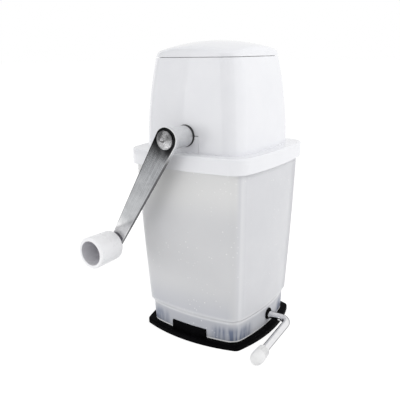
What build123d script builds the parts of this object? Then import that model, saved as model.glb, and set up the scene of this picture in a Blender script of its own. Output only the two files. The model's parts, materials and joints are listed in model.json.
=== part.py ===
from build123d import *
import math
import os

# A hand cranked ice crusher in millimetres, +Z up. The origin is the middle of the rubber
# foot, on the table. The crank is at the front, -Y, and the suction lever at the right, +X.
#
# The head (housing, collar, crusher box and lid) stands on a translucent container and lifts
# off it. The container stands on a suction pad, which the lever pulls up in the middle.

os.makedirs("parts", exist_ok=True)

# ---------------------------------------------------------------- driving dimensions

# Heights of the layers, from the table up
pad_height = 4.5
skirt_height = 19.0
ledge_height = 3.0
container_height = 141.0
collar_plate = 2.5
housing_height = 76.0
lid_height = 14.0
collar_depth = 13.0
shaft_rise = 14.0

# Plan outlines: every one is a square with bowed sides and rounded corners.
# A half width is taken at the middle of a side.
skirt_foot_half = 51.0
skirt_top_half = 52.0
skirt_bow = 180.0
skirt_corner = 12.5
container_foot_half = 53.5
container_rim_half = 59.3
container_belly = 0.6
container_foot_bow = 220.0
container_rim_bow = 300.0
container_corner = 13.0
housing_foot_half = 50.9
housing_bow = 300.0
housing_corner = 16.0
housing_side_radius = 413.0
pad_margin = 7.0
pad_bow = 147.0
pad_corner = 6.0
pad_edge_radius = 1.2

# Walls
container_wall = 2.2
container_floor = 2.2
housing_wall = 2.5
lid_wall = 3.5
collar_wall = 2.4
collar_edge_radius = 1.6
collar_lip_wall = 2.0
collar_lip_drop = 7.5
box_wall = 2.2

# Clearances
collar_gap = 0.8
lip_gap = 0.51
seam_gap = 0.5
plug_gap = 0.5
part_gap = 0.5
tongue_gap = 0.3
tongue_top_gap = 0.6
running_gap = 0.05
fit_gap = 0.02
end_gap = 0.3
cam_gap = 0.5

# Skirt ribs and the pad's tabs
rib_offsets = (27.0, 33.0, 39.0)
rib_thickness = 1.5
rib_depth = 2.5
tab_half_width = 18.0
tab_height = 7.8
tab_proud = 1.6
tab_inner = 3.5
tab_gap = 0.4

# Lid: dome, seat in the housing and rear hinge
dome_radius = 155.0
lid_edge_radius = 6.0
lid_inner_radius = 4.0
seat_depth = 3.0
seat_thickness = 2.5
seat_width = 4.0
plug_wall = 2.0
hinge_rise = 1.5
hinge_radius = 3.4
hinge_gap = 0.7
hinge_pin_radius = 1.5
knuckle_half = 8.0
ear_thickness = 4.0
ear_drop = 11.5

# Head screws, from under the collar into posts in the housing's corners
head_screw_radius = 1.6
head_screw_length = 15.0
head_screw_head_radius = 3.2
head_screw_head_height = 2.2
post_radius = 4.5
post_length = 14.0
post_bite = 0.8

# Shaft, bushes, sleeve and crank
shaft_radius = 5.0
drive_square = 7.0
bush_radius = 7.0
bush_flange_radius = 9.5
bush_flange = 2.0
bearing_boss_radius = 10.0
bearing_boss = 6.0
rear_room = 13.5
ring_thickness = 1.2
ring_radius = 8.0
shaft_tail = 1.5
sleeve_radius = 8.75
sleeve_chamfer = 0.4
shaft_hole_radius = 9.2
seal_gap = 0.3
seal_proud = 2.0
tongue_half_width = 12.5
arm_stand_off = 11.26
arm_thickness = 4.0
arm_skin = 1.8
arm_rim = 1.6
arm_edge_radius = 1.1
arm_hub_radius = 10.3
arm_end_radius = 6.2
arm_solid_hub = 13.0
arm_end_cut = 1.5
crank_length = 115.0
crank_angle = 32.0
screw_shank_radius = 2.5
screw_shank_length = 12.0
screw_head_radius = 7.5
screw_head_height = 3.6
screw_head_edge = 1.2
screw_dimple_radius = 2.0
screw_dimple_depth = 1.3
screw_crown_share = 0.45
screw_crown_radius_share = 0.72

# Knob and its axle
knob_gap = 1.2
knob_length = 28.2
knob_radius = 13.9
knob_neck_radius = 13.2
knob_bore_radius = 10.75
knob_end_wall = 5.0
knob_hub_radius = 5.5
knob_hub_length = 11.0
knob_shoulder = 4.5
knob_rim_radius = 1.1
axle_radius = 3.0
axle_head_radius = 5.0
axle_head = 1.6
axle_rivet_radius = 4.4
axle_rivet = 0.8

# Crusher box: hopper above, chamber round the rotor, open below
chamber_half_width = 30.0
chamber_corner = 4.0
chamber_above_shaft = 28.0
chamber_below_shaft = 32.0
hopper_rim_gap = 2.5
hopper_rim_corner = 8.0
hopper_rim_height = 2.0
hopper_seat_gap = 0.5
box_flange = 2.5

# Rotor and fixed combs
disc_count = 5
disc_radius = 22.0
disc_root_radius = 12.0
disc_thickness = 4.0
disc_teeth = 5
tooth_face_angle = 24.0
tooth_tip_angle = 34.0
tooth_back_angle = 46.0
spacer_radius = 7.5
comb_plate = 1.5
comb_half_height = 10.0
comb_end_gap = 2.5
comb_finger_thickness = 2.5
comb_tip_gap = 2.0
comb_tip_half_height = 2.5
comb_screw_radius = 1.5
comb_screw_head_radius = 3.0
comb_screw_head = 1.8
comb_screw_drop = 6.0
comb_screw_inset = 0.51

# Suction lever, cam and pull stud
lever_rod_radius = 3.3
lever_axle_y = 3.0
lever_axle_rise = 9.5
lever_stand_off = 22.3
lever_bend_radius = 8.0
lever_drop_angle = 7.5
lever_reach = 67.0
cap_length = 17.8
cap_radius = 5.75
cap_mouth_radius = 5.2
cap_cover = 13.0
cap_full_share = 0.45
cap_nose_share = 0.9
cap_nose_radius_share = 0.72
cap_ridges = 4
cap_ridge_pitch = 1.8
cap_ridge_depth = 0.45
cam_radius = 5.2
cam_offset = 1.2
cam_half_width = 3.0
cam_pin_radius = 1.0
cam_pin_length = 7.4
stud_radius = 10.0
stud_flange = 2.6
yoke_wall = 2.5
yoke_top = 2.0
yoke_half_thickness = 3.5
strap_centre = 15.0
strap_wall_gap = 1.8
strap_width = 6.0
strap_half_length = 11.0
strap_depth = 6.0
strap_screw_spread = 8.0
strap_screw_radius = 1.4
strap_screw_length = 12.0
strap_screw_head_radius = 2.6
strap_screw_head = 1.6
strap_screw_socket_radius = 1.0
rod_ring_radius = 5.8
rod_ring = 1.2
rod_tail = 1.5
slot_width = 9.8
slot_height = 10.8
slot_lift = 0.6
grommet_length = 4.5

# ---------------------------------------------------------------- derived places

skirt_top_z = pad_height + skirt_height
ledge_z = skirt_top_z + ledge_height
rim_z = ledge_z + container_height
collar_top_z = rim_z + collar_plate
seam_z = collar_top_z + housing_height
apex_z = seam_z + lid_height
shaft_z = collar_top_z + shaft_rise
floor_z = ledge_z + end_gap
axle_z = pad_height + lever_axle_rise


def corner_centre(half, bow, corner):
    """Where on the diagonal a bowed square's corner arc has its centre."""
    inset = bow - half
    return (math.sqrt(2 * (bow - corner) ** 2 - inset**2) - inset) / 2


def bowed_square(half, bow, corner):
    """A square whose sides bulge on a large radius, with rounded corners."""
    reach = corner_centre(half, bow, 0)
    corners = [(reach, -reach), (reach, reach), (-reach, reach), (-reach, -reach)]
    middles = [(half, 0), (0, half), (-half, 0), (0, -half)]
    with BuildSketch() as outline:
        with BuildLine():
            for start, middle, end in zip(corners, middles, corners[1:] + corners[:1]):
                ThreePointArc(start, middle, end)
        make_face()
        fillet(outline.vertices(), corner)
    return outline.sketch


def grown(outline, by):
    """The same outline moved out by a distance, or in when it is negative."""
    return tuple(size + by for size in outline)


def stack(layers, ruled=False):
    """A solid through bowed squares, each given as its height and its outline."""
    with BuildPart() as body:
        for height, outline in layers:
            with BuildSketch(Plane.XY.offset(height)):
                add(bowed_square(*outline))
        loft(ruled=ruled)
    return body.part


def heights(low, high, count):
    """Evenly spaced heights, both ends among them."""
    return [low + (high - low) * step / (count - 1) for step in range(count)]


def skirt_outline(height):
    """The container's skirt, between the pad and the ledge."""
    share = (height - pad_height) / skirt_height
    half = skirt_foot_half + (skirt_top_half - skirt_foot_half) * share
    return (half, skirt_bow, skirt_corner)


def container_outline(height):
    """The container above its ledge, a little barrelled."""
    share = (height - ledge_z) / container_height
    straight = container_foot_half + (container_rim_half - container_foot_half) * share
    half = straight + 4 * container_belly * share * (1 - share)
    bow = container_foot_bow + (container_rim_bow - container_foot_bow) * share
    return (half, bow, container_corner)


def housing_outline(height):
    """The head's side, an arc that starts upright on the collar."""
    lean = (height - collar_top_z) ** 2 / (2 * housing_side_radius)
    return (housing_foot_half - lean, housing_bow, housing_corner)


def on_shaft(y):
    """A plane across the shaft that faces the front."""
    return Plane(origin=(0, y, shaft_z), x_dir=(1, 0, 0), z_dir=(0, -1, 0))


def on_rod(x):
    """A plane across the lever's axle that faces right."""
    return Plane(origin=(x, lever_axle_y, axle_z), x_dir=(0, 1, 0), z_dir=(1, 0, 0))


def save(builder, name):
    """Labels a finished piece and writes it."""
    builder.part.label = name
    export_step(builder.part, f"parts/{name}.step")


# Front to back along the shaft
housing_half_at_shaft = housing_outline(shaft_z)[0]
chamber_half_depth = housing_half_at_shaft - housing_wall - rear_room
bush_face = chamber_half_depth + bearing_boss + bush_flange
collar_half = container_rim_half + collar_gap + collar_wall
arm_back_y = -collar_half - arm_stand_off
arm_front_y = arm_back_y - arm_thickness
shaft_rear_y = bush_face + end_gap + ring_thickness + shaft_tail
rotor_half = chamber_half_depth - box_wall
disc_pitch = 2 * rotor_half / disc_count
comb_screw_spread = rotor_half - disc_pitch / 2 - comb_screw_inset

# Crank end
crank_turn = math.radians(crank_angle)
knob_dx = -crank_length * math.sin(crank_turn)
knob_dz = -crank_length * math.cos(crank_turn)
knob_back_y = arm_front_y - knob_gap
arm_way = Vector(knob_dx, 0, knob_dz).normalized()
arm_end_back_y = arm_back_y - arm_end_cut

# Lid seat and hinge
seat_z = seam_z - seat_depth
hinge_y = housing_outline(seam_z)[0] + hinge_radius + hinge_gap
hinge_z = seam_z + hinge_rise

# Corner posts of the housing
post_at = corner_centre(*housing_outline(collar_top_z)) + (
    housing_corner - housing_wall - post_radius + post_bite
) / math.sqrt(2)
post_foot_z = collar_top_z + box_flange

# Lever
lever_x = skirt_foot_half + lever_stand_off
outer_strap_x = skirt_foot_half - container_wall - strap_wall_gap - strap_width / 2
strap_places = (-strap_centre, strap_centre, outer_strap_x)
rod_tail_x = -strap_centre - strap_width / 2 - end_gap - rod_ring - rod_tail
drop = math.radians(lever_drop_angle)
cam_y = -cam_offset * math.sin(drop)
cam_z = -cam_offset * math.cos(drop)

# ---------------------------------------------------------------- container and foot

with BuildPart() as container:
    add(stack([(z, skirt_outline(z)) for z in (pad_height, skirt_top_z)], ruled=True))
    ledge = [(skirt_top_z, skirt_outline(skirt_top_z)), (ledge_z, container_outline(ledge_z))]
    add(stack(ledge, ruled=True))
    add(stack([(z, container_outline(z)) for z in heights(ledge_z, rim_z, 4)]))
    inside = [(z, grown(container_outline(z), -container_wall)) for z in heights(floor_z, rim_z, 4)]
    add(stack(inside), mode=Mode.SUBTRACT)
    underside = floor_z - container_floor
    hollow = [(z, grown(skirt_outline(z), -container_wall)) for z in (pad_height, underside)]
    add(stack(hollow, ruled=True), mode=Mode.SUBTRACT)
    # Ribs inside the skirt, on both sides of each corner
    rib_reach = skirt_foot_half - container_wall / 2
    rib_length = rib_depth + container_wall / 2
    with BuildSketch(Plane.XY.offset(pad_height + part_gap)):
        for offset in rib_offsets:
            sag = skirt_bow - math.sqrt(skirt_bow**2 - offset**2)
            middle = rib_reach - sag - rib_length / 2
            for side in range(4):
                turn = Rotation(0, 0, side * 90)
                with Locations(turn * Location((middle, offset)), turn * Location((middle, -offset))):
                    Rectangle(rib_length, rib_thickness)
    extrude(amount=underside - pad_height - part_gap + fit_gap)
    # Saddles that hold the lever's rod from above, and their screw holes
    with BuildSketch(Plane.XY.offset(axle_z)):
        with Locations(*[(x, lever_axle_y) for x in strap_places]):
            Rectangle(strap_width, 2 * strap_half_length)
    extrude(amount=underside - axle_z + fit_gap)
    with BuildSketch(on_rod(rod_tail_x)):
        Circle(lever_rod_radius + running_gap)
    extrude(amount=skirt_foot_half - rod_tail_x - container_wall / 2, mode=Mode.SUBTRACT)
    with BuildSketch(Plane.XY.offset(axle_z)):
        for x in strap_places:
            with Locations((x, lever_axle_y - strap_screw_spread), (x, lever_axle_y + strap_screw_spread)):
                Circle(strap_screw_radius + fit_gap)
    extrude(amount=strap_screw_length - strap_depth + strap_screw_head + end_gap, mode=Mode.SUBTRACT)
    # Slot for the rod in the right wall, and notches for the pad's tabs
    with BuildSketch(on_rod(skirt_foot_half - container_wall - part_gap)):
        with Locations((0, slot_lift)):
            SlotOverall(slot_height, slot_width, rotation=90)
    extrude(amount=container_wall + 4 * part_gap, mode=Mode.SUBTRACT)
    with BuildSketch(Plane.XY.offset(pad_height)):
        Rectangle(2 * (tab_half_width + tab_gap), 3 * skirt_foot_half)
        add(bowed_square(*grown(skirt_outline(pad_height), -container_wall - part_gap)), mode=Mode.SUBTRACT)
    extrude(amount=tab_height + tab_gap, mode=Mode.SUBTRACT)
save(container, "container")

with BuildPart() as suction_pad:
    pad_outline = (skirt_foot_half + pad_margin, pad_bow, pad_corner)
    with BuildSketch():
        add(bowed_square(*pad_outline))
    extrude(amount=pad_height)
    fillet(suction_pad.faces().sort_by(Axis.Z)[-1].edges(), pad_edge_radius)
    # Tabs that stand in the skirt's front and rear notches
    with BuildSketch(Plane.XY.offset(pad_height)):
        add(bowed_square(*grown(skirt_outline(pad_height), tab_proud)))
        add(bowed_square(*grown(skirt_outline(pad_height), -tab_inner)), mode=Mode.SUBTRACT)
        Rectangle(2 * tab_half_width, 3 * skirt_foot_half, mode=Mode.INTERSECT)
    extrude(amount=tab_height)
save(suction_pad, "suction_pad")

# ---------------------------------------------------------------- suction lever

for strap_name, strap_x in zip(("inner_rod_strap", "middle_rod_strap", "outer_rod_strap"), strap_places):
    with BuildPart() as strap:
        with BuildSketch(Plane.XY.offset(axle_z - strap_depth)):
            with Locations((strap_x, lever_axle_y)):
                Rectangle(strap_width, 2 * strap_half_length)
        extrude(amount=strap_depth)
        with BuildSketch(on_rod(strap_x - strap_width)):
            Circle(lever_rod_radius + running_gap)
        extrude(amount=2 * strap_width, mode=Mode.SUBTRACT)
        with Locations(*[Pos(strap_x, lever_axle_y + sign * strap_screw_spread, axle_z - strap_depth)
                         * Rot(X=180) for sign in (-1, 1)]):
            CounterBoreHole(
                strap_screw_radius + fit_gap, strap_screw_head_radius + fit_gap, strap_screw_head, strap_depth
            )
    save(strap, strap_name)

with BuildPart() as strap_screws:
    for strap_x in strap_places:
        for sign in (-1, 1):
            spot = (strap_x, lever_axle_y + sign * strap_screw_spread)
            with BuildSketch(Plane.XY.offset(axle_z - strap_depth)):
                with Locations(spot):
                    Circle(strap_screw_head_radius)
                    RegularPolygon(strap_screw_socket_radius, 6, mode=Mode.SUBTRACT)
            extrude(amount=strap_screw_head)
            with BuildSketch(Plane.XY.offset(axle_z - strap_depth + strap_screw_head)):
                with Locations(spot):
                    Circle(strap_screw_radius)
            extrude(amount=strap_screw_length - strap_screw_head)
save(strap_screws, "strap_screws")

with BuildPart() as rod_grommet:
    grommet_x = skirt_foot_half - container_wall - part_gap
    with BuildSketch(on_rod(grommet_x)):
        with Locations((0, slot_lift)):
            SlotOverall(slot_height - 2 * fit_gap, slot_width - 2 * fit_gap, rotation=90)
        Circle(lever_rod_radius + end_gap, mode=Mode.SUBTRACT)
    extrude(amount=grommet_length)
save(rod_grommet, "rod_grommet")

lever_way = Vector(0, -math.cos(drop), -math.sin(drop))
lever_corner = Vector(lever_x, lever_axle_y, axle_z)
with BuildPart() as lever_rod:
    with BuildLine():
        FilletPolyline(
            (rod_tail_x, lever_axle_y, axle_z),
            tuple(lever_corner),
            tuple(lever_corner + lever_way * (lever_reach - cap_length + cap_cover)),
            radius=lever_bend_radius,
        )
    with BuildSketch(on_rod(rod_tail_x)):
        Circle(lever_rod_radius)
    sweep()
    with BuildSketch(Plane(origin=(0, lever_axle_y - cam_radius, axle_z), z_dir=(0, 1, 0))):
        Circle(cam_pin_radius + fit_gap)
    extrude(amount=2 * cam_radius, mode=Mode.SUBTRACT)
save(lever_rod, "lever_rod")

with BuildPart() as lever_cap:
    mouth = lever_corner + lever_way * (lever_reach - cap_length)
    cap_plane = Plane(origin=tuple(mouth), x_dir=(1, 0, 0), z_dir=tuple(lever_way))
    # The half profile's height runs along the rod
    profile_normal = Vector(1, 0, 0).cross(lever_way)
    profile_plane = Plane(origin=tuple(mouth), x_dir=(1, 0, 0), z_dir=tuple(profile_normal))
    full = cap_full_share * cap_length
    with BuildSketch(profile_plane):
        with BuildLine():
            Polyline((0, cap_cover), (lever_rod_radius + fit_gap, cap_cover), (lever_rod_radius + fit_gap, 0),
                     (cap_mouth_radius, 0), (cap_radius, full))
            nose_point = (cap_nose_radius_share * cap_radius, cap_nose_share * cap_length)
            nose = Spline((cap_radius, full), nose_point, (0, cap_length), tangents=((0.05, 1), (-1, 0)))
            Line(nose @ 1, (0, cap_cover))
        make_face()
    revolve(axis=Axis(mouth, lever_way))
    # A groove behind each ridge, as deep at the mouth as at the full width
    for ridge in range(cap_ridges):
        groove_at = (ridge + 0.5) * cap_ridge_pitch
        around = cap_mouth_radius + (cap_radius - cap_mouth_radius) * groove_at / full
        with BuildSketch(cap_plane.offset(groove_at)):
            Circle(cap_radius + part_gap)
            Circle(around - cap_ridge_depth, mode=Mode.SUBTRACT)
        extrude(amount=cap_ridge_pitch / 2, mode=Mode.SUBTRACT)
save(lever_cap, "lever_cap")

with BuildPart() as lift_cam:
    with BuildSketch(on_rod(-cam_half_width)):
        with Locations((cam_y, cam_z)):
            Circle(cam_radius)
        Circle(lever_rod_radius + fit_gap, mode=Mode.SUBTRACT)
    extrude(amount=2 * cam_half_width)
    with BuildSketch(Plane(origin=(0, lever_axle_y - 2 * cam_radius, axle_z), z_dir=(0, 1, 0))):
        Circle(cam_pin_radius + fit_gap)
    extrude(amount=4 * cam_radius, mode=Mode.SUBTRACT)
save(lift_cam, "lift_cam")

with BuildPart() as cam_pin:
    with BuildSketch(Plane(origin=(0, lever_axle_y - cam_pin_length / 2, axle_z), z_dir=(0, 1, 0))):
        Circle(cam_pin_radius)
    extrude(amount=cam_pin_length)
save(cam_pin, "cam_pin")

with BuildPart() as rod_ring_part:
    with BuildSketch(on_rod(-strap_centre - strap_width / 2 - end_gap - rod_ring)):
        Circle(rod_ring_radius)
        Circle(lever_rod_radius + fit_gap, mode=Mode.SUBTRACT)
    extrude(amount=rod_ring)
save(rod_ring_part, "rod_retaining_ring")

with BuildPart() as pull_stud:
    with BuildSketch(Plane.XY.offset(pad_height)):
        with Locations((0, lever_axle_y)):
            Circle(stud_radius)
    extrude(amount=stud_flange)
    yoke_half = cam_radius + cam_offset + cam_gap + fit_gap
    yoke_low = axle_z + cam_z - cam_radius - cam_gap
    yoke_high = axle_z + cam_z + cam_radius + cam_gap
    with BuildSketch(on_rod(-yoke_half_thickness)):
        with BuildLine():
            low, high = pad_height - axle_z, yoke_high + yoke_top - axle_z
            outer = yoke_half + yoke_wall
            Polyline((-outer, low), (outer, low), (outer, high), (-outer, high), close=True)
        make_face()
        with Locations((0, (yoke_low + yoke_high) / 2 - axle_z)):
            Rectangle(2 * yoke_half, yoke_high - yoke_low, mode=Mode.SUBTRACT)
    extrude(amount=2 * yoke_half_thickness)
save(pull_stud, "pull_stud")

# ---------------------------------------------------------------- collar and housing

collar_inner = grown(container_outline(rim_z), collar_gap)
collar_outer = grown(collar_inner, collar_wall)
housing_layers = [(z, housing_outline(z)) for z in heights(collar_top_z, seam_z, 4)]
housing_outside = stack(housing_layers)
housing_inside = stack([(z, grown(outline, -housing_wall)) for z, outline in housing_layers])
corner_posts = GridLocations(2 * post_at, 2 * post_at, 2, 2).locations

with BuildPart() as tongue_wall:
    add(housing_outside)
    add(housing_inside, mode=Mode.SUBTRACT)
    with BuildSketch(on_shaft(0)):
        with Locations((0, -shaft_rise / 2)):
            Rectangle(2 * tongue_half_width, shaft_rise)
        Circle(shaft_hole_radius, mode=Mode.SUBTRACT)
    extrude(amount=housing_foot_half + housing_wall, mode=Mode.INTERSECT)

with BuildPart() as collar:
    with BuildSketch(Plane.XY.offset(collar_top_z - collar_depth)):
        add(bowed_square(*collar_outer))
    extrude(amount=collar_depth)
    fillet(collar.faces().sort_by(Axis.Z)[-1].edges(), collar_edge_radius)
    with BuildSketch(Plane.XY.offset(collar_top_z - collar_depth)):
        add(bowed_square(*collar_inner))
    extrude(amount=collar_depth - collar_plate, mode=Mode.SUBTRACT)
    lip_outer = grown(container_outline(rim_z - collar_lip_drop), -container_wall - lip_gap)
    with BuildSketch(Plane.XY.offset(rim_z - collar_lip_drop)):
        add(bowed_square(*lip_outer))
        add(bowed_square(*grown(lip_outer, -collar_lip_wall)), mode=Mode.SUBTRACT)
    extrude(amount=collar_lip_drop)
    with BuildSketch(Plane.XY.offset(rim_z)):
        Rectangle(2 * (chamber_half_width + part_gap), 2 * (chamber_half_depth + part_gap))
        with Locations(*corner_posts):
            Circle(head_screw_radius + fit_gap)
    extrude(amount=collar_plate, mode=Mode.SUBTRACT)
    add(tongue_wall.part)
save(collar, "collar")

with BuildPart() as housing:
    add(housing_outside)
    add(housing_inside, mode=Mode.SUBTRACT)
    # Seat for the lid's plug
    with BuildSketch(Plane.XY.offset(seat_z - seat_thickness)):
        add(bowed_square(*grown(housing_outline(seat_z), -housing_wall / 2)))
        add(bowed_square(*grown(housing_outline(seat_z), -housing_wall - seat_width)), mode=Mode.SUBTRACT)
    extrude(amount=seat_thickness)
    # Posts for the head screws
    with BuildSketch(Plane.XY.offset(post_foot_z)):
        with Locations(*corner_posts):
            Circle(post_radius)
            Circle(head_screw_radius + fit_gap, mode=Mode.SUBTRACT)
    extrude(amount=post_length)
    # Slot that the collar's tongue closes, round at the shaft
    with BuildSketch(on_shaft(0)):
        with Locations((0, (tongue_top_gap - tongue_gap - shaft_rise) / 2)):
            Rectangle(2 * (tongue_half_width + tongue_gap), shaft_rise + tongue_gap + tongue_top_gap)
        Circle(shaft_hole_radius)
    extrude(amount=2 * housing_foot_half, mode=Mode.SUBTRACT)
    # Ears for the lid's hinge pin
    for side in (-1, 1):
        ear_x = side * (knuckle_half + end_gap + ear_thickness / 2) - ear_thickness / 2
        with BuildSketch(Plane.YZ.offset(ear_x)):
            with Locations((hinge_y, hinge_z)):
                Circle(hinge_radius)
            with Locations((housing_outline(hinge_z - ear_drop)[0] - housing_wall / 2, hinge_z - ear_drop)):
                Circle(housing_wall / 3)
            make_hull()
            with Locations((hinge_y, hinge_z)):
                Circle(hinge_pin_radius + fit_gap, mode=Mode.SUBTRACT)
        extrude(amount=ear_thickness)
save(housing, "housing")

with BuildPart() as head_screws:
    head_z = rim_z - head_screw_head_height
    with BuildSketch(Plane.XY.offset(head_z)):
        with Locations(*corner_posts):
            Circle(head_screw_head_radius)
            Rectangle(head_screw_head_radius, head_screw_radius / 2, mode=Mode.SUBTRACT)
    extrude(amount=head_screw_head_height)
    with BuildSketch(Plane.XY.offset(rim_z)):
        with Locations(*corner_posts):
            Circle(head_screw_radius)
    extrude(amount=head_screw_length)
save(head_screws, "head_screws")

# ---------------------------------------------------------------- lid and its hinge

with BuildPart() as lid:
    lid_foot_z = seam_z + seam_gap
    lid_layers = [(z, housing_outline(z)) for z in (lid_foot_z, apex_z)]
    add(stack(lid_layers, ruled=True))
    with Locations((0, 0, apex_z - dome_radius)):
        Sphere(dome_radius, mode=Mode.INTERSECT)
    crown = lid.faces().sort_by(Axis.Z)[-1]
    fillet(crown.edges(), lid_edge_radius)
    with BuildPart(mode=Mode.PRIVATE) as lid_inside:
        add(stack([(z, grown(outline, -lid_wall)) for z, outline in lid_layers], ruled=True))
        with Locations((0, 0, apex_z - dome_radius)):
            Sphere(dome_radius - lid_wall, mode=Mode.INTERSECT)
        fillet(lid_inside.faces().sort_by(Axis.Z)[-1].edges(), lid_inner_radius)
    add(lid_inside.part, mode=Mode.SUBTRACT)
    # Plug that stands on the housing's seat
    plug_outline = grown(housing_outline(seam_z), -housing_wall - plug_gap)
    with BuildSketch(Plane.XY.offset(seat_z)):
        add(bowed_square(*plug_outline))
        add(bowed_square(*grown(plug_outline, -plug_wall)), mode=Mode.SUBTRACT)
    extrude(amount=lid_foot_z - seat_z + plug_wall)
    # Knuckle between the housing's ears, on a web from the rear side
    web_foot_y = housing_outline(lid_foot_z)[0] - lid_wall / 2
    with BuildSketch(Plane.YZ.offset(-knuckle_half)):
        with Locations((hinge_y, hinge_z)):
            Circle(hinge_radius)
        with Locations(((web_foot_y + hinge_y) / 2, (lid_foot_z + hinge_z + hinge_radius) / 2)):
            Rectangle(hinge_y - web_foot_y, hinge_z + hinge_radius - lid_foot_z)
        with Locations((hinge_y, hinge_z)):
            Circle(hinge_pin_radius + running_gap, mode=Mode.SUBTRACT)
    extrude(amount=2 * knuckle_half)
save(lid, "lid")

with BuildPart() as lid_hinge_pin:
    pin_half = knuckle_half + end_gap + ear_thickness
    with BuildSketch(Plane.YZ.offset(-pin_half)):
        with Locations((hinge_y, hinge_z)):
            Circle(hinge_pin_radius)
    extrude(amount=2 * pin_half)
save(lid_hinge_pin, "lid_hinge_pin")

# ---------------------------------------------------------------- crusher box, bushes and combs

chamber_top_z = shaft_z + chamber_above_shaft
hopper_top_z = seat_z - seat_thickness - hopper_seat_gap
hopper_half = housing_outline(hopper_top_z)[0] - housing_wall - hopper_rim_gap

with BuildPart() as crusher_box:
    chamber_size = (2 * chamber_half_width, 2 * chamber_half_depth)
    inner_size = (chamber_size[0] - 2 * box_wall, chamber_size[1] - 2 * box_wall)
    rim_size = 2 * hopper_half
    rim_corner = chamber_corner + hopper_rim_corner
    chamber_foot_z = shaft_z - chamber_below_shaft
    with BuildSketch(Plane.XY.offset(chamber_foot_z)):
        RectangleRounded(*chamber_size, chamber_corner)
    extrude(amount=chamber_top_z - chamber_foot_z)
    with BuildSketch(Plane.XY.offset(chamber_top_z)):
        RectangleRounded(*chamber_size, chamber_corner)
    with BuildSketch(Plane.XY.offset(hopper_top_z - hopper_rim_height)):
        RectangleRounded(rim_size, rim_size, rim_corner)
    loft(ruled=True)
    with BuildSketch(Plane.XY.offset(hopper_top_z - hopper_rim_height)):
        RectangleRounded(rim_size, rim_size, rim_corner)
    extrude(amount=hopper_rim_height)
    # Flange between the collar and the housing's posts
    with BuildSketch(Plane.XY.offset(collar_top_z)):
        add(bowed_square(*grown(housing_outline(collar_top_z), -housing_wall - part_gap)))
        with Locations(*corner_posts):
            Circle(head_screw_radius + fit_gap, mode=Mode.SUBTRACT)
    extrude(amount=box_flange)
    # Bearing bosses on the front and rear walls
    with BuildSketch(on_shaft(chamber_half_depth + bearing_boss)):
        Circle(bearing_boss_radius)
    extrude(amount=2 * (chamber_half_depth + bearing_boss))
    # The inside, and the bores
    with BuildSketch(Plane.XY.offset(chamber_foot_z)):
        RectangleRounded(*inner_size, chamber_corner - box_wall)
    extrude(amount=chamber_top_z - chamber_foot_z, mode=Mode.SUBTRACT)
    with BuildSketch(Plane.XY.offset(chamber_top_z)):
        RectangleRounded(*inner_size, chamber_corner - box_wall)
    with BuildSketch(Plane.XY.offset(hopper_top_z)):
        RectangleRounded(rim_size - 2 * box_wall, rim_size - 2 * box_wall, rim_corner - box_wall)
    loft(ruled=True, mode=Mode.SUBTRACT)
    with BuildSketch(on_shaft(chamber_half_depth + bearing_boss)):
        Circle(bush_radius + fit_gap)
    extrude(amount=2 * (chamber_half_depth + bearing_boss), mode=Mode.SUBTRACT)
    with BuildSketch(Plane.YZ.offset(-chamber_half_width)):
        with Locations(*[(sign * comb_screw_spread, shaft_z - comb_screw_drop) for sign in (-1, 1)]):
            Circle(comb_screw_radius + fit_gap)
    extrude(amount=2 * chamber_half_width, mode=Mode.SUBTRACT)
save(crusher_box, "crusher_box")

for bush_name, side in (("front_bush", -1), ("rear_bush", 1)):
    with BuildPart() as bush:
        inner_y = side * (chamber_half_depth - box_wall)
        flange_y = side * (chamber_half_depth + bearing_boss)
        face_y = side * bush_face
        with BuildSketch(on_shaft(max(inner_y, flange_y))):
            Circle(bush_radius)
        extrude(amount=abs(flange_y - inner_y))
        with BuildSketch(on_shaft(max(flange_y, face_y))):
            Circle(bush_flange_radius)
        extrude(amount=bush_flange)
        with BuildSketch(on_shaft(2 * bush_face)):
            Circle(shaft_radius + running_gap)
        extrude(amount=4 * bush_face, mode=Mode.SUBTRACT)
    save(bush, bush_name)

for comb_name, side in (("left_fixed_comb", -1), ("right_fixed_comb", 1)):
    wall_x = side * (chamber_half_width - box_wall)
    plate_x = wall_x - side * comb_plate
    tip_x = side * (spacer_radius + comb_tip_gap)
    with BuildPart() as comb:
        with BuildSketch(Plane.XY.offset(shaft_z - comb_half_height)):
            with Locations(((wall_x + plate_x) / 2, 0)):
                Rectangle(comb_plate, 2 * (rotor_half - comb_end_gap))
        extrude(amount=2 * comb_half_height)
        for gap in range(1, disc_count):
            finger_y = -rotor_half + gap * disc_pitch + comb_finger_thickness / 2
            with BuildSketch(on_shaft(finger_y)):
                with BuildLine():
                    Polyline(
                        (plate_x, -comb_half_height), (tip_x, -comb_tip_half_height),
                        (tip_x, comb_tip_half_height), (plate_x, comb_half_height), close=True,
                    )
                make_face()
            extrude(amount=comb_finger_thickness)
        with BuildSketch(Plane.YZ.offset(min(wall_x, plate_x))):
            with Locations(*[(sign * comb_screw_spread, shaft_z - comb_screw_drop) for sign in (-1, 1)]):
                Circle(comb_screw_radius + fit_gap)
        extrude(amount=comb_plate, mode=Mode.SUBTRACT)
    save(comb, comb_name)

with BuildPart() as comb_screws:
    for side in (-1, 1):
        for sign in (-1, 1):
            spot = (sign * comb_screw_spread, shaft_z - comb_screw_drop)
            outer_x = side * (chamber_half_width + comb_screw_head)
            shank_x = side * (chamber_half_width - box_wall - comb_plate - end_gap)
            with BuildSketch(Plane.YZ.offset(min(outer_x, side * chamber_half_width))):
                with Locations(spot):
                    Circle(comb_screw_head_radius)
            extrude(amount=comb_screw_head)
            with BuildSketch(Plane.YZ.offset(min(shank_x, side * chamber_half_width))):
                with Locations(spot):
                    Circle(comb_screw_radius)
            extrude(amount=abs(shank_x - side * chamber_half_width))
save(comb_screws, "comb_screws")

# ---------------------------------------------------------------- rotor

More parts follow.
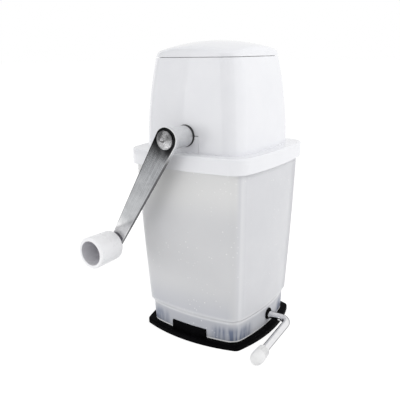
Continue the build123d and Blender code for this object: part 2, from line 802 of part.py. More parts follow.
with BuildPart() as crank_shaft:
    square_end = rotor_half - end_gap
    with BuildSketch(on_shaft(shaft_rear_y)):
        Circle(shaft_radius)
    extrude(amount=shaft_rear_y - square_end)
    with BuildSketch(on_shaft(square_end)):
        Rectangle(drive_square, drive_square)
    extrude(amount=2 * square_end)
    with BuildSketch(on_shaft(-square_end)):
        Circle(shaft_radius)
    extrude(amount=-square_end - arm_back_y)
    with BuildSketch(on_shaft(arm_back_y)):
        Rectangle(drive_square, drive_square)
    extrude(amount=arm_thickness - end_gap)
    with BuildSketch(on_shaft(arm_front_y + screw_shank_length)):
        Circle(screw_shank_radius + fit_gap)
    extrude(amount=screw_shank_length, mode=Mode.SUBTRACT)
save(crank_shaft, "crank_shaft")

for index in range(disc_count):
    disc_y = -rotor_half + (index + 0.5) * disc_pitch + disc_thickness / 2
    with BuildPart() as disc:
        with BuildSketch(on_shaft(disc_y)):
            with BuildLine():
                outline = []
                for tooth in range(disc_teeth):
                    turn = 360 / disc_teeth * (tooth + index / disc_count)
                    for radius, lead in (
                        (disc_root_radius, 0), (disc_radius, tooth_face_angle),
                        (disc_radius, tooth_tip_angle), (disc_root_radius, tooth_back_angle),
                    ):
                        angle = math.radians(turn + lead)
                        outline.append((radius * math.cos(angle), radius * math.sin(angle)))
                Polyline(*outline, close=True)
            make_face()
            Rectangle(drive_square + 2 * fit_gap, drive_square + 2 * fit_gap, mode=Mode.SUBTRACT)
        extrude(amount=disc_thickness)
    save(disc, f"breaker_disc_{index + 1}")

with BuildPart() as disc_spacers:
    disc_middles = [-rotor_half + (index + 0.5) * disc_pitch for index in range(disc_count)]
    starts = [-rotor_half + end_gap] + [middle + disc_thickness / 2 for middle in disc_middles]
    ends = [middle - disc_thickness / 2 for middle in disc_middles] + [rotor_half - end_gap]
    for low, high in zip(starts, ends):
        with BuildSketch(on_shaft(high)):
            Circle(spacer_radius)
            Rectangle(drive_square + 2 * fit_gap, drive_square + 2 * fit_gap, mode=Mode.SUBTRACT)
        extrude(amount=high - low)
save(disc_spacers, "disc_spacers")

with BuildPart() as shaft_ring:
    with BuildSketch(on_shaft(bush_face + end_gap + ring_thickness)):
        Circle(ring_radius)
        Circle(shaft_radius + fit_gap, mode=Mode.SUBTRACT)
    extrude(amount=ring_thickness)
save(shaft_ring, "shaft_retaining_ring")

seal_front_y = -housing_half_at_shaft - seal_proud
seal_rear_y = -bush_face - end_gap
with BuildPart() as shaft_seal:
    with BuildSketch(on_shaft(seal_rear_y)):
        Circle(shaft_hole_radius - seal_gap)
        Circle(shaft_radius + fit_gap, mode=Mode.SUBTRACT)
    extrude(amount=seal_rear_y - seal_front_y)
save(shaft_seal, "shaft_seal")

with BuildPart() as crank_sleeve:
    sleeve_rear_y = seal_front_y
    with BuildSketch(on_shaft(sleeve_rear_y)):
        Circle(sleeve_radius)
        Circle(shaft_radius + fit_gap, mode=Mode.SUBTRACT)
    extrude(amount=sleeve_rear_y - arm_back_y)
    chamfer(crank_sleeve.faces().sort_by(Axis.Y)[0].edges().sort_by(SortBy.LENGTH)[-1], sleeve_chamfer)
save(crank_sleeve, "crank_sleeve")

# ---------------------------------------------------------------- crank arm, screw and knob

with BuildPart() as crank_arm:
    with BuildSketch(on_shaft(arm_back_y)):
        Circle(arm_hub_radius)
        with Locations((knob_dx, knob_dz)):
            Circle(arm_end_radius)
        make_hull()
    extrude(amount=arm_thickness)
    fillet(crank_arm.faces().sort_by(Axis.Y)[0].edges(), arm_edge_radius)
    # Pressed hollow in the back, past the solid hub
    with BuildSketch(on_shaft(arm_back_y)):
        Circle(arm_hub_radius - arm_rim)
        with Locations((knob_dx, knob_dz)):
            Circle(arm_end_radius - arm_rim)
        make_hull()
        Circle(arm_solid_hub, mode=Mode.SUBTRACT)
        with Locations((knob_dx, knob_dz)):
            Circle(axle_rivet_radius, mode=Mode.SUBTRACT)
    extrude(amount=arm_thickness - arm_skin, mode=Mode.SUBTRACT)
    # The back slopes, so that the arm is thinner at the knob
    arm_side = Plane(origin=(0, arm_back_y, shaft_z), x_dir=arm_way, z_dir=arm_way.cross(Vector(0, 1, 0)))
    with BuildSketch(arm_side):
        with BuildLine():
            slope_end = crank_length - arm_end_radius
            Polyline((arm_solid_hub, 0), (slope_end, -arm_end_cut), (2 * crank_length, -arm_end_cut),
                     (2 * crank_length, 0), close=True)
        make_face()
    extrude(amount=2 * arm_hub_radius, both=True, mode=Mode.SUBTRACT)
    with BuildSketch(on_shaft(arm_back_y)):
        Rectangle(drive_square + 2 * fit_gap, drive_square + 2 * fit_gap)
        with Locations((knob_dx, knob_dz)):
            Circle(axle_radius + fit_gap)
    extrude(amount=arm_thickness, mode=Mode.SUBTRACT)
save(crank_arm, "crank_arm")

shaft_axis = Axis((0, 0, shaft_z), (0, 1, 0))
with BuildPart() as crank_screw:
    with BuildSketch(on_shaft(arm_front_y + screw_shank_length)):
        Circle(screw_shank_radius)
    extrude(amount=screw_shank_length)
    with BuildSketch(Plane.YZ):
        with BuildLine():
            edge_y = arm_front_y - screw_head_edge
            crown_y = arm_front_y - screw_head_height
            Polyline((arm_front_y, shaft_z), (arm_front_y, shaft_z + screw_head_radius),
                     (edge_y, shaft_z + screw_head_radius))
            ThreePointArc((edge_y, shaft_z + screw_head_radius),
                          (crown_y + screw_crown_share * (edge_y - crown_y),
                           shaft_z + screw_crown_radius_share * screw_head_radius),
                          (crown_y, shaft_z + screw_dimple_radius))
            Polyline((crown_y, shaft_z + screw_dimple_radius), (crown_y + screw_dimple_depth, shaft_z),
                     (arm_front_y, shaft_z))
        make_face()
    revolve(axis=shaft_axis)
save(crank_screw, "crank_screw")

knob_x = knob_dx
knob_z = shaft_z + knob_dz
knob_axis = Axis((knob_x, 0, knob_z), (0, 1, 0))
axle_front_y = knob_back_y - knob_hub_length - end_gap
with BuildPart() as knob_axle:
    with BuildSketch(on_shaft(arm_end_back_y)):
        with Locations((knob_dx, knob_dz)):
            Circle(axle_radius)
    extrude(amount=arm_end_back_y - axle_front_y)
    with BuildSketch(on_shaft(arm_end_back_y + axle_rivet)):
        with Locations((knob_dx, knob_dz)):
            Circle(axle_rivet_radius)
    extrude(amount=axle_rivet)
    with BuildSketch(on_shaft(axle_front_y)):
        with Locations((knob_dx, knob_dz)):
            Circle(axle_head_radius)
    extrude(amount=axle_head)
save(knob_axle, "knob_axle")

with BuildPart() as knob:
    tip_y = knob_back_y - knob_length
    shoulder_y = knob_back_y - knob_shoulder
    with BuildSketch(Plane.YZ.offset(knob_x)) as knob_profile:
        with BuildLine():
            Polyline(
                (knob_back_y, knob_z + axle_radius + running_gap), (knob_back_y, knob_z + knob_neck_radius),
                (shoulder_y, knob_z + knob_neck_radius), (tip_y, knob_z + knob_radius),
                (tip_y, knob_z + knob_bore_radius), (knob_back_y - knob_end_wall, knob_z + knob_bore_radius),
                (knob_back_y - knob_end_wall, knob_z + knob_hub_radius),
                (knob_back_y - knob_hub_length, knob_z + knob_hub_radius),
                (knob_back_y - knob_hub_length, knob_z + axle_radius + running_gap), close=True,
            )
        make_face()
        neck = Vertex(knob_back_y, knob_z + knob_neck_radius, 0)
        fillet(knob_profile.vertices().sort_by_distance(neck)[0], knob_shoulder - end_gap)
        rim = Vertex(tip_y, knob_z + knob_radius, 0)
        fillet(knob_profile.vertices().sort_by_distance(rim)[0], knob_rim_radius)
    revolve(axis=knob_axis)
save(knob, "knob")
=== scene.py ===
import json
from math import atan2, cos, radians, sin

import bpy
from mathutils import Matrix, Vector


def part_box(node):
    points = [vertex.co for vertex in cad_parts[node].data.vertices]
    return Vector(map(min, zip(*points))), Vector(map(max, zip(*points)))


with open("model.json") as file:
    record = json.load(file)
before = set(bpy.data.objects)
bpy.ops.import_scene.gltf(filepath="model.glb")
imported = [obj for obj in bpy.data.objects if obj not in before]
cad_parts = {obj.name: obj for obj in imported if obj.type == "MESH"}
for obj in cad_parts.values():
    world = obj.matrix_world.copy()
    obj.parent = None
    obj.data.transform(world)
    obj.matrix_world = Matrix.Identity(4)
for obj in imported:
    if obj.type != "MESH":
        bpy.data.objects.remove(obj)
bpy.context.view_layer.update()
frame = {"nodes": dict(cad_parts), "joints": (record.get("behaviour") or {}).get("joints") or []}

scene = bpy.context.scene


def joint_place(name):
    """A hinge's place at rest."""
    return next(Vector(joint["pos_m"]) for joint in frame["joints"] if joint["name"] == name)


# ---------------------------------------------------------------- studio, in metres, watts and degrees

# The photograph's own viewpoint, fitted to the object's edges
camera_at = Vector((0.258667, -0.406374, 0.250602))
camera_yaw, camera_pitch, camera_roll = radians(-34.774), radians(15.192), radians(-0.896)
camera_lens, sensor_width = 48.34, 36.0
camera_shift = (0.00528, -0.0064)
camera_near, camera_far = 0.01, 100.0

# The floor and the world each have two levels: what they shed on the object, and the white that shows
floor_half = 12.0
floor_albedo = 0.86
floor_seen_albedo, floor_glow = 0.36, 0.80
world_fill, world_seen = 0.64, 1.0
background_rays = ("Is Camera Ray", "Is Glossy Ray", "Is Transmission Ray")

# Name, place, size and power of each lamp
lamps = (("key_lamp", (1.09, 0.19, 0.95), (0.9, 0.9), 7.4),
         ("left_lamp", (-0.85, -1.20, 0.26), (2.0, 0.8), 8.9),
         ("top_lamp", (-0.10, -0.20, 1.35), (0.8, 0.8), 0.3))
lamp_target = (0.0, 0.0, 0.15)

# Name of each card, its first and last turn from the front towards the right, and its grey level
cards = (("left_card", -88.0, -35.0, 0.03), ("camera_card", -16.0, 62.0, 0.20))
card_radius, card_foot, card_top = 0.95, 0.001, 1.30
card_steps = 10

# ---------------------------------------------------------------- places on the object, in metres

# Heights on the container, up from its foot
foot_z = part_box("container")[0].z
rim_line_z = foot_z + 0.0011
skirt_dark_z, skirt_clear_z = foot_z + 0.0090, foot_z + 0.0170
ledge_low_z, ledge_high_z = foot_z + 0.0177, foot_z + 0.0230
low_panel_z = foot_z + 0.0515

# Heights on the container, down from the collar, where painted light fills the collar's shade
collar_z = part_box("collar")[0].z
collar_light_z, collar_light_full_z = collar_z - 0.045, collar_z - 0.015

# The crank: its hub, the knob's axis, and the knob's bore round it
hub, knob_axis = joint_place("crank_turn"), joint_place("knob_spin")
knob_bore_radius = 0.01095
arm_lean = atan2(hub.x - knob_axis.x, hub.z - knob_axis.z)


def along_arm(place):
    """How far up the leaning arm a place lies."""
    return place.x * sin(arm_lean) + place.z * cos(arm_lean)


# Painted reflections along the arm: bright near the knob, lighter from below the hub, near black round the
# hub
arm_bright, arm_bright_full = along_arm(knob_axis) + 0.037, along_arm(knob_axis) + 0.023
arm_lighter = along_arm(hub) - 0.027
arm_hub, arm_hub_full = along_arm(hub) - 0.017, along_arm(hub) - 0.001

# The arm's edges, which take a painted highlight, start just behind its front face
arm_front_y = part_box("crank_arm")[0].y
arm_edge_y, arm_edge_full_y = arm_front_y + 0.00016, arm_front_y + 0.00046

# Between the lever's bright rod and the crank's screw, which takes painted mottled reflections
painted_mottle_z, painted_mottle_full_z = 0.10, 0.11


# ---------------------------------------------------------------- node helpers

class Graph:
    """A small writer of shader nodes for one material."""

    def __init__(self, name):
        self.material = bpy.data.materials.new(name)
        self.material.use_nodes = True
        self.tree = self.material.node_tree
        self.tree.nodes.clear()
        self.out = self.add("ShaderNodeOutputMaterial")
        self.spot = self.add("ShaderNodeTexCoord").outputs["Object"]

    def add(self, kind, **settings):
        node = self.tree.nodes.new(kind)
        for key, value in settings.items():
            setattr(node, key, value)
        return node

    def put(self, socket, value):
        """Links a socket or sets a plain value."""
        if isinstance(value, bpy.types.NodeSocket):
            self.tree.links.new(value, socket)
        else:
            socket.default_value = value

    def stretched(self, scale, turn):
        """Coordinates turned first and then scaled, so a grain can lie along any way."""
        node = self.add("ShaderNodeMapping", vector_type="TEXTURE")
        self.put(node.inputs["Vector"], self.spot)
        node.inputs["Rotation"].default_value = turn
        node.inputs["Scale"].default_value = [1 / along for along in scale]
        return node.outputs["Vector"]

    def noise(self, scale, detail=2.0, rough=0.5, warp=0.0, vector=None):
        node = self.add("ShaderNodeTexNoise")
        self.put(node.inputs["Vector"], vector or self.spot)
        for name, value in (("Scale", scale), ("Detail", detail),
                            ("Roughness", rough), ("Distortion", warp)):
            node.inputs[name].default_value = value
        return node.outputs["Fac"]

    def grain(self, scale, turn=(0.0, 0.0, 0.0), detail=2.0, rough=0.5):
        """Noise with a scale of its own along each turned axis."""
        return self.noise(1.0, detail, rough, vector=self.stretched(scale, turn))

    def cells(self, scale):
        """How far the nearest of many scattered points is."""
        node = self.add("ShaderNodeTexVoronoi")
        self.put(node.inputs["Vector"], self.spot)
        node.inputs["Scale"].default_value = scale
        return node.outputs["Distance"]

    def between(self, value, low, high, out_low=0.0, out_high=1.0, smooth=False):
        """Maps a value's range to another one and holds it at both ends."""
        node = self.add("ShaderNodeMapRange",
                        interpolation_type="SMOOTHSTEP" if smooth else "LINEAR")
        self.put(node.inputs["Value"], value)
        for name, number in (("From Min", low), ("From Max", high),
                             ("To Min", out_low), ("To Max", out_high)):
            node.inputs[name].default_value = number
        return node.outputs["Result"]

    def math(self, operation, a, b):
        node = self.add("ShaderNodeMath", operation=operation)
        self.put(node.inputs[0], a)
        self.put(node.inputs[1], b)
        return node.outputs[0]

    def times(self, a, b):
        return self.math("MULTIPLY", a, b)

    def sum(self, a, *more):
        for value in more:
            a = self.math("ADD", a, value)
        return a

    def mixed(self, share, a, b):
        node = self.add("ShaderNodeMix", data_type="RGBA")
        self.put(node.inputs["Factor"], share)
        first, second = [socket for socket in node.inputs if socket.type == "RGBA"]
        self.put(first, a)
        self.put(second, b)
        return next(socket for socket in node.outputs if socket.type == "RGBA")

    def layered(self, tone, *layers):
        """Lays colours over a tone in turn, each by its share."""
        for share, over in layers:
            tone = self.mixed(share, tone, over)
        return tone

    def bump(self, height, strength, distance):
        node = self.add("ShaderNodeBump")
        self.put(node.inputs["Height"], height)
        node.inputs["Strength"].default_value = strength
        node.inputs["Distance"].default_value = distance
        return node.outputs["Normal"]

    def axis(self, name, vector=None):
        node = self.add("ShaderNodeSeparateXYZ")
        self.put(node.inputs[0], vector or self.spot)
        return node.outputs[name]

    def surface(self, **sockets):
        """The finished material. A socket's name has _ for each space."""
        node = self.add("ShaderNodeBsdfPrincipled")
        for name, value in sockets.items():
            self.put(node.inputs[name.replace("_", " ")], value)
        self.put(self.out.inputs["Surface"], node.outputs["BSDF"])
        return self.material


def colour(r, g, b):
    return (r, g, b, 1.0)


def grey(level, blue=1.0):
    """A grey whose blue is that much stronger."""
    return colour(level, level, level * blue)


# ---------------------------------------------------------------- materials

def moulded_plastic(name, clean, dull, rough_low, rough_spread, peel, bore=None):
    """Injection-moulded plastic: faint colour drift, smudges in the gloss, orange peel, fine scuffs.

    A bore gives the tones of the painted shade inside the knob's bore, at its bottom and at its top.
    """
    g = Graph(name)
    drift = g.noise(scale=38.0, detail=3.0, rough=0.6)
    smudge = g.noise(scale=75.0, detail=5.0, rough=0.62, warp=0.6)
    scuff = g.between(g.grain((900.0, 140.0, 2600.0), turn=(0.3, 0.5, 0.2)), 0.66, 0.74)
    tone = g.mixed(g.between(drift, 0.32, 0.68), clean, dull)
    # Painted shade inside the knob's bore, light at its bottom and dark at its top
    if bore:
        off_x, off_z = g.sum(g.axis("X"), -knob_axis.x), g.sum(g.axis("Z"), -knob_axis.z)
        off_axis = g.sum(g.times(off_x, off_x), g.times(off_z, off_z))
        inside = g.between(off_axis, knob_bore_radius**2, (0.97 * knob_bore_radius)**2)
        painted_bore_shade = g.mixed(g.between(off_z, -knob_bore_radius, knob_bore_radius), *bore)
        tone = g.mixed(inside, tone, painted_bore_shade)
    rough = g.sum(g.between(smudge, 0.35, 0.7, rough_low, rough_low + rough_spread), g.times(scuff, 0.08))
    relief = g.sum(g.noise(scale=420.0), g.times(scuff, -0.15))
    return g.surface(Base_Color=tone, Roughness=rough, IOR=1.5,
                     Normal=g.bump(relief, strength=peel, distance=0.0001))


def frosted_plastic(name):
    """Milky plastic with a satin bloom and white flecks, with painted light and shade: highlights on its
    corners, ledge and rim, light under the collar, shade on its front, back and rear corners, and the ribs
    and rubber seen through its skirt.
    """
    g = Graph(name)
    cloud = g.noise(scale=20.0, detail=3.0, rough=0.6)
    bloom = g.noise(scale=160.0, detail=4.0, rough=0.6, warp=0.4)
    flecked = g.between(g.noise(scale=46.0), 0.50, 0.62)
    fleck = g.times(g.between(g.cells(260.0), 0.19, 0.10, 0.0, 0.7), flecked)

    # cornerness is a quarter on the diagonals and 0 at the middle of each wall.
    # past_corner is -1 at the middle of the front and back walls, 0 on the diagonals and 1 at the side walls.
    x, y, height = g.axis("X"), g.axis("Y"), g.axis("Z")
    square_x, square_y = g.times(x, x), g.times(y, y)
    around = g.sum(square_x, square_y)
    cornerness = g.math("DIVIDE", g.times(square_x, square_y), g.times(around, around))
    past_corner = g.math("DIVIDE", g.math("SUBTRACT", square_x, square_y), around)
    panel = g.between(past_corner, 0.02, -0.06)

    # Painted highlight along the corners, and painted shade along the rear ones
    painted_corner_highlight = g.times(g.between(past_corner, 0.03, 0.08, 0.0, 0.45), g.between(past_corner, 0.20, 0.11))
    painted_rear_corner_shade = g.times(g.between(cornerness, 0.185, 0.225, 0.0, 0.40), g.between(y, 0.0, 0.02))

    # Front and back: painted light under the collar, where its shade falls, and darker towards the ledge
    painted_light_under_collar = g.times(g.between(height, collar_light_z, collar_light_full_z, 0.0, 0.75, smooth=True),
                           panel)
    low_panel = g.times(g.between(height, low_panel_z, ledge_high_z, 0.0, 0.46, smooth=True),
                        g.between(past_corner, -0.02, -0.22))

    # The skirt: painted darker below the ledge, with painted blue-grey bars at its corners, for the ribs and
    # rubber seen through it
    painted_see_through_skirt = g.between(height, ledge_low_z + 0.001, ledge_low_z - 0.002, 0.0, 0.42)
    bars = g.between(g.grain((300.0, 300.0, 16.0), rough=0.6), 0.38, 0.58, 0.30, 1.0)
    painted_see_through_bars = g.times(g.between(height, skirt_clear_z, skirt_dark_z, 0.0, 0.92, smooth=True),
                           g.times(g.between(cornerness, 0.13, 0.20), bars))

    # Painted highlights: bright lines on the ledge and the foot's rim
    ledge = g.times(g.between(height, ledge_low_z - 0.001, ledge_low_z + 0.001, 0.0, 0.55, smooth=True),
                    g.between(height, ledge_high_z + 0.002, ledge_high_z - 0.002, smooth=True))
    painted_rim_highlight = g.between(height, rim_line_z + 0.0003, rim_line_z)

    milk, thin_milk = colour(0.765, 0.770, 0.796), colour(0.722, 0.728, 0.756)
    # Tone of the painted highlights on the corners and the ledge
    painted_highlight_tone = colour(0.92, 0.925, 0.945)
    tone = g.layered(
        g.mixed(g.between(cloud, 0.3, 0.7), milk, thin_milk),
        (painted_corner_highlight, painted_highlight_tone),
        (painted_rear_corner_shade, colour(0.42, 0.42, 0.46)),
        (painted_light_under_collar, colour(0.93, 0.93, 0.925)),
        # Painted shade: the front and back walls a little darker and greyer than the sides
        (g.times(panel, 0.30), colour(0.700, 0.700, 0.690)),
        (low_panel, colour(0.50, 0.52, 0.585)),
        (painted_see_through_skirt, colour(0.40, 0.42, 0.475)),
        (painted_see_through_bars, colour(0.120, 0.155, 0.250)),
        (ledge, painted_highlight_tone),
        (painted_rim_highlight, colour(0.97, 0.975, 0.99)),
        (fleck, grey(1.0)))
    relief = g.sum(g.noise(scale=900.0, rough=0.6), g.times(fleck, 0.6))
    return g.surface(Base_Color=tone, Roughness=g.between(bloom, 0.3, 0.7, 0.30, 0.46), IOR=1.49,
                     Transmission_Weight=0.10, Normal=g.bump(relief, strength=0.10, distance=0.0002))


def rubber(name):
    """Moulded black rubber: dull, a little dusty in patches, finely grained."""
    g = Graph(name)
    dust = g.noise(scale=60.0, detail=5.0, rough=0.65, warp=0.5)
    clean, dusty = colour(0.0015, 0.0015, 0.002), colour(0.005, 0.005, 0.0055)
    relief = g.sum(g.noise(scale=1500.0, rough=0.6), g.times(dust, 0.5))
    return g.surface(Base_Color=g.mixed(g.between(dust, 0.45, 0.8), clean, dusty),
                     Roughness=g.between(dust, 0.3, 0.7, 0.50, 0.70), Specular_IOR_Level=0.02,
                     Normal=g.bump(relief, strength=0.25, distance=0.0002))


def chromed(name, level, rough_low, rough_high, dulled, spot_scale, edge, painted_reflection_mottle=False):
    """Bright plating: dull spots, hairline scratches and a tinted edge. Above a height it takes painted
    reflections, mottled light and dark, and turns matt.
    """
    g = Graph(name)
    spots = g.noise(scale=spot_scale, detail=4.0, rough=0.6, warp=0.6)
    hair = g.between(g.grain((2200.0, 300.0, 500.0), turn=(0.4, 0.2, 0.7), detail=1.0), 0.64, 0.72)
    tone = g.mixed(g.between(spots, 0.4, 0.68), grey(level, blue=1.01), grey(level * dulled, blue=1.02))
    rough = g.sum(g.between(spots, 0.35, 0.75, rough_low, rough_high), g.times(hair, 0.12))
    if painted_reflection_mottle:
        # Painted reflections on the crank's screw: a light and dark mottle, on a matt roughness
        above = g.between(g.axis("Z"), painted_mottle_z, painted_mottle_full_z)
        mottle = g.between(g.noise(scale=900.0, detail=3.0, rough=0.6, warp=1.2), 0.35, 0.65)
        light, dark = colour(0.92, 0.92, 0.93), colour(0.30, 0.30, 0.31)
        tone = g.mixed(above, tone, g.mixed(mottle, light, dark))
        rough = g.sum(rough, g.times(above, g.between(mottle, 0.0, 1.0, 0.32, 0.46)))
    relief = g.sum(spots, g.times(hair, 0.4))
    return g.surface(Base_Color=tone, Metallic=1.0, Roughness=rough, Specular_Tint=grey(edge),
                     Normal=g.bump(relief, strength=0.05, distance=0.0002))


def brushed_steel(name, light, dark, rough_low, rough_high, arm=False):
    """Steel with a fine and a wide grain, stained a little. The arm's grain runs along it, and so do its
    painted reflections; its edges take a painted highlight.
    """
    g = Graph(name)
    turn = (0.0, arm_lean if arm else 0.0, 0.0)
    lines = g.grain((5200.0, 5200.0, 60.0), turn, detail=3.0, rough=0.6)
    wide = g.grain((900.0, 900.0, 18.0), turn, detail=3.0, rough=0.6)
    stain = g.noise(scale=85.0, detail=4.0, rough=0.6, warp=0.8)
    marks = g.sum(g.times(lines, 0.5), g.times(wide, 0.3), g.times(stain, 0.35))
    tone = g.mixed(g.between(marks, 0.38, 0.78), light, dark)
    if arm:
        # Painted reflections along the arm: near black round the hub, lighter below, bright by the knob; a
        # painted highlight on its edges, dark by the hub
        along = g.sum(g.axis("Z", g.stretched((1.0, 1.0, 1.0), turn)), g.times(stain, 0.010))
        painted_lower_reflection = g.between(along, arm_lighter, arm_bright, 0.0, 0.30)
        painted_knob_reflection = g.between(along, arm_bright, arm_bright_full, 0.0, 0.90, smooth=True)
        painted_hub_reflection = g.between(along, arm_hub, arm_hub_full, 0.0, 0.97, smooth=True)
        edge = g.between(g.axis("Y"), arm_edge_y, arm_edge_full_y, 0.0, 0.9)
        painted_edge_highlight_tone = g.mixed(painted_hub_reflection, colour(0.13, 0.13, 0.135), colour(0.90, 0.905, 0.91))
        tone = g.layered(
            tone,
            (painted_lower_reflection, colour(0.80, 0.81, 0.82)),
            (painted_knob_reflection, colour(0.88, 0.88, 0.885)),
            (painted_hub_reflection, colour(0.010, 0.010, 0.011)),
            (edge, painted_edge_highlight_tone))
    rough = g.between(marks, 0.35, 0.75, rough_low, rough_high)
    relief = g.sum(lines, g.times(wide, 0.5))
    return g.surface(Base_Color=tone, Metallic=1.0, Roughness=rough,
                     Normal=g.bump(relief, strength=0.12, distance=0.0001))


# Each slot's maker and what it is given
recipes = {
    "white_shell": (moulded_plastic, dict(
        clean=colour(0.868, 0.873, 0.900), dull=colour(0.842, 0.848, 0.878),
        rough_low=0.02, rough_spread=0.04, peel=0.015)),
    "white_knob": (moulded_plastic, dict(
        clean=colour(0.955, 0.955, 0.970), dull=colour(0.930, 0.932, 0.950),
        rough_low=0.22, rough_spread=0.16, peel=0.12,
        # painted shade in the knob's bore: light at the bottom, dark at the top
        bore=(colour(0.90, 0.89, 0.93), colour(0.36, 0.35, 0.40)))),
    "white_vinyl": (moulded_plastic, dict(
        clean=colour(0.880, 0.882, 0.885), dull=colour(0.830, 0.832, 0.836),
        rough_low=0.36, rough_spread=0.20, peel=0.20)),
    "inner_plastic": (moulded_plastic, dict(
        clean=colour(0.70, 0.71, 0.73), dull=colour(0.62, 0.63, 0.66),
        rough_low=0.30, rough_spread=0.20, peel=0.20)),
    "black_plastic": (moulded_plastic, dict(
        clean=colour(0.018, 0.018, 0.020), dull=colour(0.030, 0.030, 0.032),
        rough_low=0.30, rough_spread=0.20, peel=0.20)),
    "frosted_plastic": (frosted_plastic, {}),
    "black_rubber": (rubber, {}),
    "chrome": (chromed, dict(
        level=0.86, rough_low=0.02, rough_high=0.07, dulled=0.94, spot_scale=260.0, edge=0.0, painted_reflection_mottle=True)),
    "polished_steel": (brushed_steel, dict(
        light=colour(0.46, 0.47, 0.485), dark=colour(0.22, 0.225, 0.235),
        rough_low=0.10, rough_high=0.20, arm=True)),
    "satin_steel": (brushed_steel, dict(
        light=colour(0.88, 0.885, 0.89), dark=colour(0.72, 0.725, 0.73), rough_low=0.26, rough_high=0.38)),
    "steel_hardware": (chromed, dict(
        level=0.62, rough_low=0.26, rough_high=0.46, dulled=0.70, spot_scale=620.0, edge=0.4)),
    "stainless_cutter": (brushed_steel, dict(
        light=colour(0.66, 0.67, 0.68), dark=colour(0.50, 0.51, 0.52), rough_low=0.20, rough_high=0.36)),
}


def paint_nodes():
    """Every carried-over part takes its own finish, by the slot it already has."""
    finish = {slot: make(slot, **settings) for slot, (make, settings) in recipes.items()}
    for part in frame["nodes"].values():
        for slot in part.material_slots:
            slot.material = finish[slot.material.name.split(".")[0]]


# ---------------------------------------------------------------- stage

def shader(tree, kind, **sockets):
    node = tree.nodes.new(kind)
    for name, value in sockets.items():
        node.inputs[name].default_value = value
    return node


def background_share(tree):
    """1 for rays that see the background: from the camera, a mirror or clear plastic."""
    path = tree.nodes.new("ShaderNodeLightPath")
    first, *others = [path.outputs[name] for name in background_rays]
    for other in others:
        node = tree.nodes.new("ShaderNodeMath")
        node.operation = "MAXIMUM"
        tree.links.new(first, node.inputs[0])
        tree.links.new(other, node.inputs[1])
        first = node.outputs[0]
    return first


def split_by_ray(tree, output, plain, seen):
    """Shows one shader to background rays, and the plain one to the light on the object."""
    mix = tree.nodes.new("ShaderNodeMixShader")
    tree.links.new(background_share(tree), mix.inputs["Fac"])
    tree.links.new(plain.outputs[0], mix.inputs[1])
    tree.links.new(seen.outputs[0], mix.inputs[2])
    tree.links.new(mix.outputs[0], tree.nodes.new(output).inputs["Surface"])


def make_floor():
    """A pale floor that keeps the object's shadow and glows enough to end in white."""
    mesh = bpy.data.meshes.new("floor")
    h = floor_half
    mesh.from_pydata([(-h, -h, 0), (h, -h, 0), (h, h, 0), (-h, h, 0)], [], [(0, 1, 2, 3)])
    floor = bpy.data.objects.new("floor", mesh)
    scene.collection.objects.link(floor)
    material = bpy.data.materials.new("floor")
    material.use_nodes = True
    tree = material.node_tree
    tree.nodes.clear()
    plain = shader(tree, "ShaderNodeBsdfDiffuse", Color=grey(floor_albedo))
    shadowed = shader(tree, "ShaderNodeBsdfDiffuse", Color=grey(floor_seen_albedo))
    glow = shader(tree, "ShaderNodeEmission", Strength=floor_glow)
    both = tree.nodes.new("ShaderNodeAddShader")
    tree.links.new(shadowed.outputs[0], both.inputs[0])
    tree.links.new(glow.outputs[0], both.inputs[1])
    split_by_ray(tree, "ShaderNodeOutputMaterial", plain, both)
    mesh.materials.append(material)


def make_world():
    world = bpy.data.worlds.new("studio")
    scene.world = world
    world.use_nodes = True
    tree = world.node_tree
    tree.nodes.clear()
    fill = shader(tree, "ShaderNodeBackground", Color=grey(1.0), Strength=world_fill)
    seen = shader(tree, "ShaderNodeBackground", Color=grey(1.0), Strength=world_seen)
    split_by_ray(tree, "ShaderNodeOutputWorld", fill, seen)


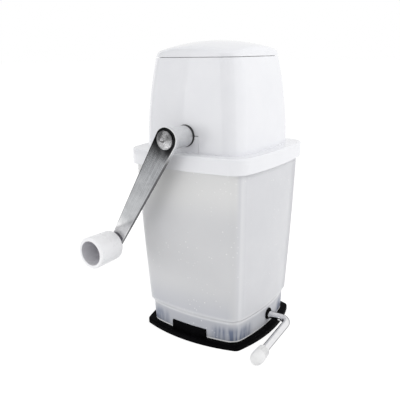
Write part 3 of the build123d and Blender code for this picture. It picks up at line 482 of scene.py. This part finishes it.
def make_lamps():
    """Soft lamps that gloss doesn't see."""
    for name, place, size, watts in lamps:
        data = bpy.data.lights.new(name, "AREA")
        data.shape = "RECTANGLE"
        data.size, data.size_y = size
        data.energy = watts
        lamp = bpy.data.objects.new(name, data)
        way = Vector(lamp_target) - Vector(place)
        lamp.matrix_world = Matrix.Translation(place) @ way.to_track_quat("-Z", "Y").to_matrix().to_4x4()
        lamp.visible_glossy = False
        scene.collection.objects.link(lamp)


def make_cards():
    """Dark cards round the camera's side. Only gloss sees them, as it saw the dark end of the studio."""
    for name, first, last, level in cards:
        material = bpy.data.materials.new(name)
        material.use_nodes = True
        sockets = material.node_tree.nodes["Principled BSDF"].inputs
        sockets["Base Color"].default_value = grey(level)
        sockets["Roughness"].default_value = 1.0
        sockets["Specular IOR Level"].default_value = 0.0
        points = []
        for step in range(card_steps + 1):
            turn = radians(first + (last - first) * step / card_steps)
            x, y = card_radius * sin(turn), -card_radius * cos(turn)
            points += [(x, y, card_foot), (x, y, card_top)]
        faces = [(2 * i, 2 * i + 2, 2 * i + 3, 2 * i + 1) for i in range(card_steps)]
        mesh = bpy.data.meshes.new(name)
        mesh.from_pydata(points, [], faces)
        mesh.materials.append(material)
        card = bpy.data.objects.new(name, mesh)
        card.visible_camera = card.visible_diffuse = card.visible_shadow = False
        card.visible_transmission = False
        scene.collection.objects.link(card)


def make_camera():
    """A camera whose up and right are turned by its roll."""
    right = Vector((cos(camera_yaw), -sin(camera_yaw), 0.0))
    ahead = Vector((sin(camera_yaw) * cos(camera_pitch), cos(camera_yaw) * cos(camera_pitch),
                    -sin(camera_pitch)))
    up = right.cross(ahead)
    rolled_right = right * cos(camera_roll) + up * sin(camera_roll)
    rolled_up = up * cos(camera_roll) - right * sin(camera_roll)
    data = bpy.data.cameras.new("camera")
    data.lens, data.sensor_width = camera_lens, sensor_width
    data.shift_x, data.shift_y = camera_shift
    data.clip_start, data.clip_end = camera_near, camera_far
    camera = bpy.data.objects.new("camera", data)
    camera.matrix_world = Matrix((
        (rolled_right.x, rolled_up.x, -ahead.x, camera_at.x),
        (rolled_right.y, rolled_up.y, -ahead.y, camera_at.y),
        (rolled_right.z, rolled_up.z, -ahead.z, camera_at.z),
        (0, 0, 0, 1)))
    scene.collection.objects.link(camera)
    scene.camera = camera


scene.view_settings.view_transform = "Standard"
make_camera()
make_world()
make_lamps()
make_floor()
make_cards()
paint_nodes()
